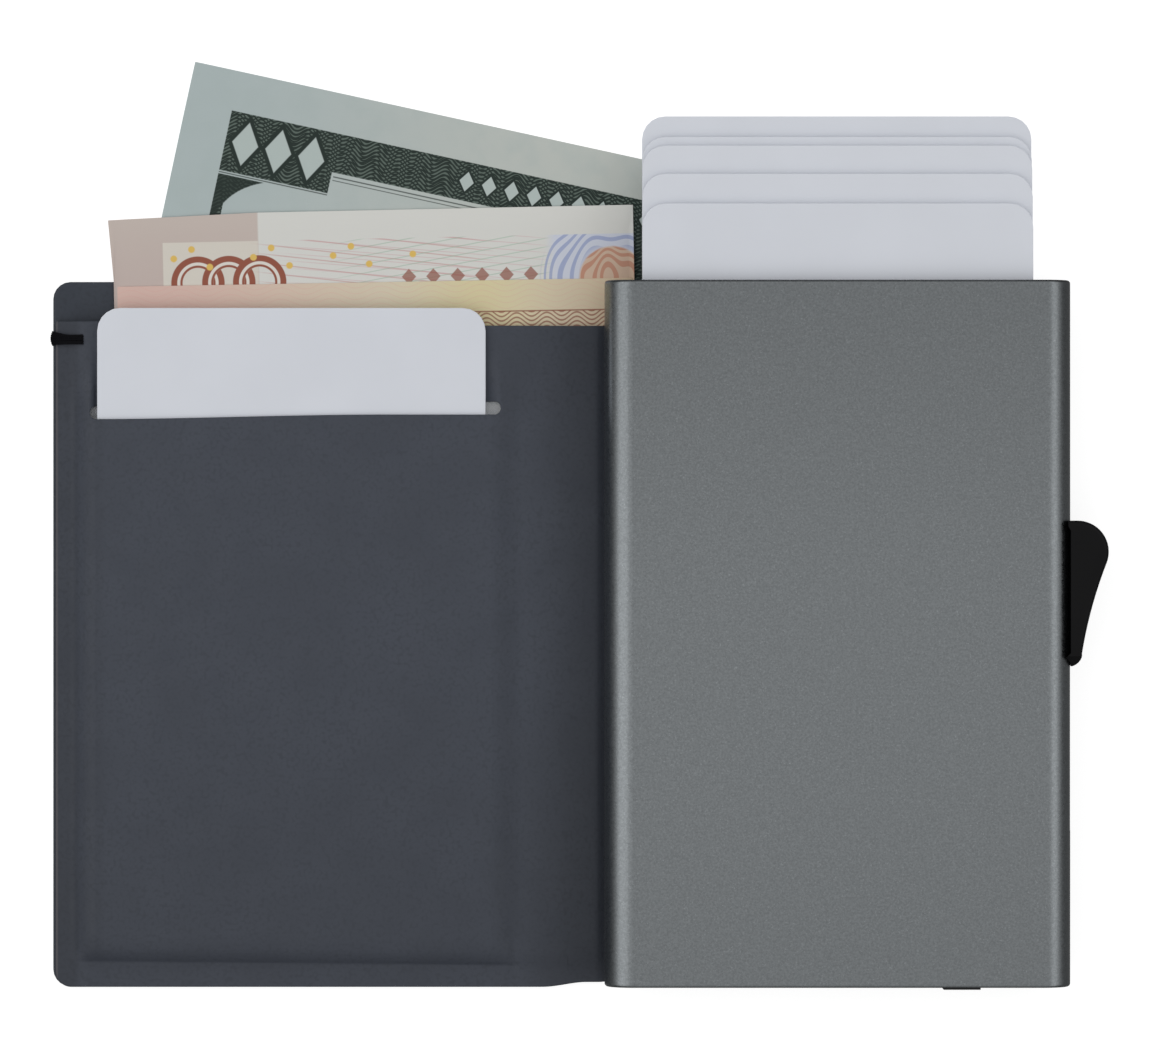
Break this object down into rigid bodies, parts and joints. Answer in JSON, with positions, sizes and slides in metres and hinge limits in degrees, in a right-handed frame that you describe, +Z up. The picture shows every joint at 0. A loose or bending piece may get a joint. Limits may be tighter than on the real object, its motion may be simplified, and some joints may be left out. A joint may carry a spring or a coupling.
{
  "type": "minimalist wallet",
  "caption": "Slim folding wallet lying open: aluminium card case whose thumb slider fans out the cards, and a leather leaf with a card slot and folded notes.",
  "frame": {"origin": "middle of the object's footprint, on the table that the open wallet lies on; it falls on the underside of the spine", "axes": "+X from the free leaf across the spine to the card case, +Y towards the mouth of the case, +Z up from the table"},
  "size_m": [0.1466, 0.1288, 0.0114],
  "materials": {
    "case_aluminium": "sand-blasted and anodised, fine matt grain",
    "lever_plastic": "moulded, satin black",
    "inner_plastic": "moulded, matt black",
    "rocker_plastic": "moulded, light grey",
    "pin_steel": "ground",
    "felt": "pressed felt strip",
    "adhesive": "double-sided tape",
    "cover_leather": "fine-grained coated leather, matt",
    "lining_leather": "thin coated leather with pressed seams",
    "pocket_cloth": "thin woven lining",
    "thread": "bonded black thread",
    "card_plastic": "plain pale card, satin",
    "note_green": "printed with a plain line pattern",
    "note_pale": "printed with a plain line pattern",
    "note_amber": "printed with a plain line pattern"
  },
  "bodies": {
    "case": {"case_tube": "case_aluminium", "bottom_cap": "inner_plastic", "left_rail": "inner_plastic", "right_rail": "inner_plastic", "mouth_felt": "felt", "rocker_pin": "pin_steel", "case_adhesive_pad": "adhesive", "cover_back": "cover_leather", "lining_back": "lining_leather"},
    "slider": {"lever": "lever_plastic", "slider_carriage": "inner_plastic"},
    "rocker": {"fan_rocker": "rocker_plastic"},
    "card_1": {"card_1": "card_plastic"},
    "card_2": {"card_2": "card_plastic"},
    "card_3": {"card_3": "card_plastic"},
    "card_4": {"card_4": "card_plastic"},
    "card_5": {"card_5": "card_plastic"},
    "spine": {"cover_spine": "cover_leather", "lining_spine": "lining_leather"},
    "leaf": {"cover_leaf": "cover_leather", "pocket_panel": "lining_leather", "card_pocket_backing": "pocket_cloth", "corner_bar_tack": "thread", "banknote_green": "note_green", "banknote_pale": "note_pale", "banknote_amber": "note_amber"},
    "slot_card": {"slot_card": "card_plastic"}
  },
  "joints": [
    {"name": "slider_travel", "type": "slide", "parent": "case", "child": "slider", "axis": [0, 1, 0], "range_m": [-0.025, 0]},
    {"name": "rocker_swing", "type": "hinge", "parent": "case", "child": "rocker", "pos_m": [0.00898, -0.05625, 0.00695], "axis": [0, 0, 1], "range_deg": [-28, 0]},
    {"name": "card_1_travel", "type": "slide", "parent": "case", "child": "card_1", "axis": [0, 1, 0], "range_m": [-0.01235, 0]},
    {"name": "card_2_travel", "type": "slide", "parent": "case", "child": "card_2", "axis": [0, 1, 0], "range_m": [-0.0165, 0]},
    {"name": "card_3_travel", "type": "slide", "parent": "case", "child": "card_3", "axis": [0, 1, 0], "range_m": [-0.02045, 0]},
    {"name": "card_4_travel", "type": "slide", "parent": "case", "child": "card_4", "axis": [0, 1, 0], "range_m": [-0.0217, 0]},
    {"name": "card_5_travel", "type": "slide", "parent": "case", "child": "card_5", "axis": [0, 1, 0], "range_m": [-0.0246, 0]},
    {"name": "spine_fold", "type": "hinge", "parent": "case", "child": "spine", "pos_m": [0.00332, -0.01528, 0.0033], "axis": [0, 1, 0], "range_deg": [0, 90]},
    {"name": "leaf_fold", "type": "hinge", "parent": "spine", "child": "leaf", "pos_m": [-0.00588, -0.01528, 0.0033], "axis": [0, 1, 0], "range_deg": [0, 90], "deforming": ["banknote_green", "banknote_pale", "banknote_amber"]},
    {"name": "slot_card_travel", "type": "slide", "parent": "leaf", "child": "slot_card", "axis": [0, 1, 0], "range_m": [-0.002, 0.068]}
  ],
  "couplings": [
    {"joint": "rocker_swing", "follows": "slider_travel", "rad_per_m": 19.546},
    {"joint": "card_1_travel", "follows": "slider_travel", "ratio": 0.494},
    {"joint": "card_2_travel", "follows": "slider_travel", "ratio": 0.66},
    {"joint": "card_3_travel", "follows": "slider_travel", "ratio": 0.818},
    {"joint": "card_4_travel", "follows": "slider_travel", "ratio": 0.868},
    {"joint": "card_5_travel", "follows": "slider_travel", "ratio": 0.984},
    {"joint": "leaf_fold", "follows": "spine_fold", "ratio": 1}
  ]
}
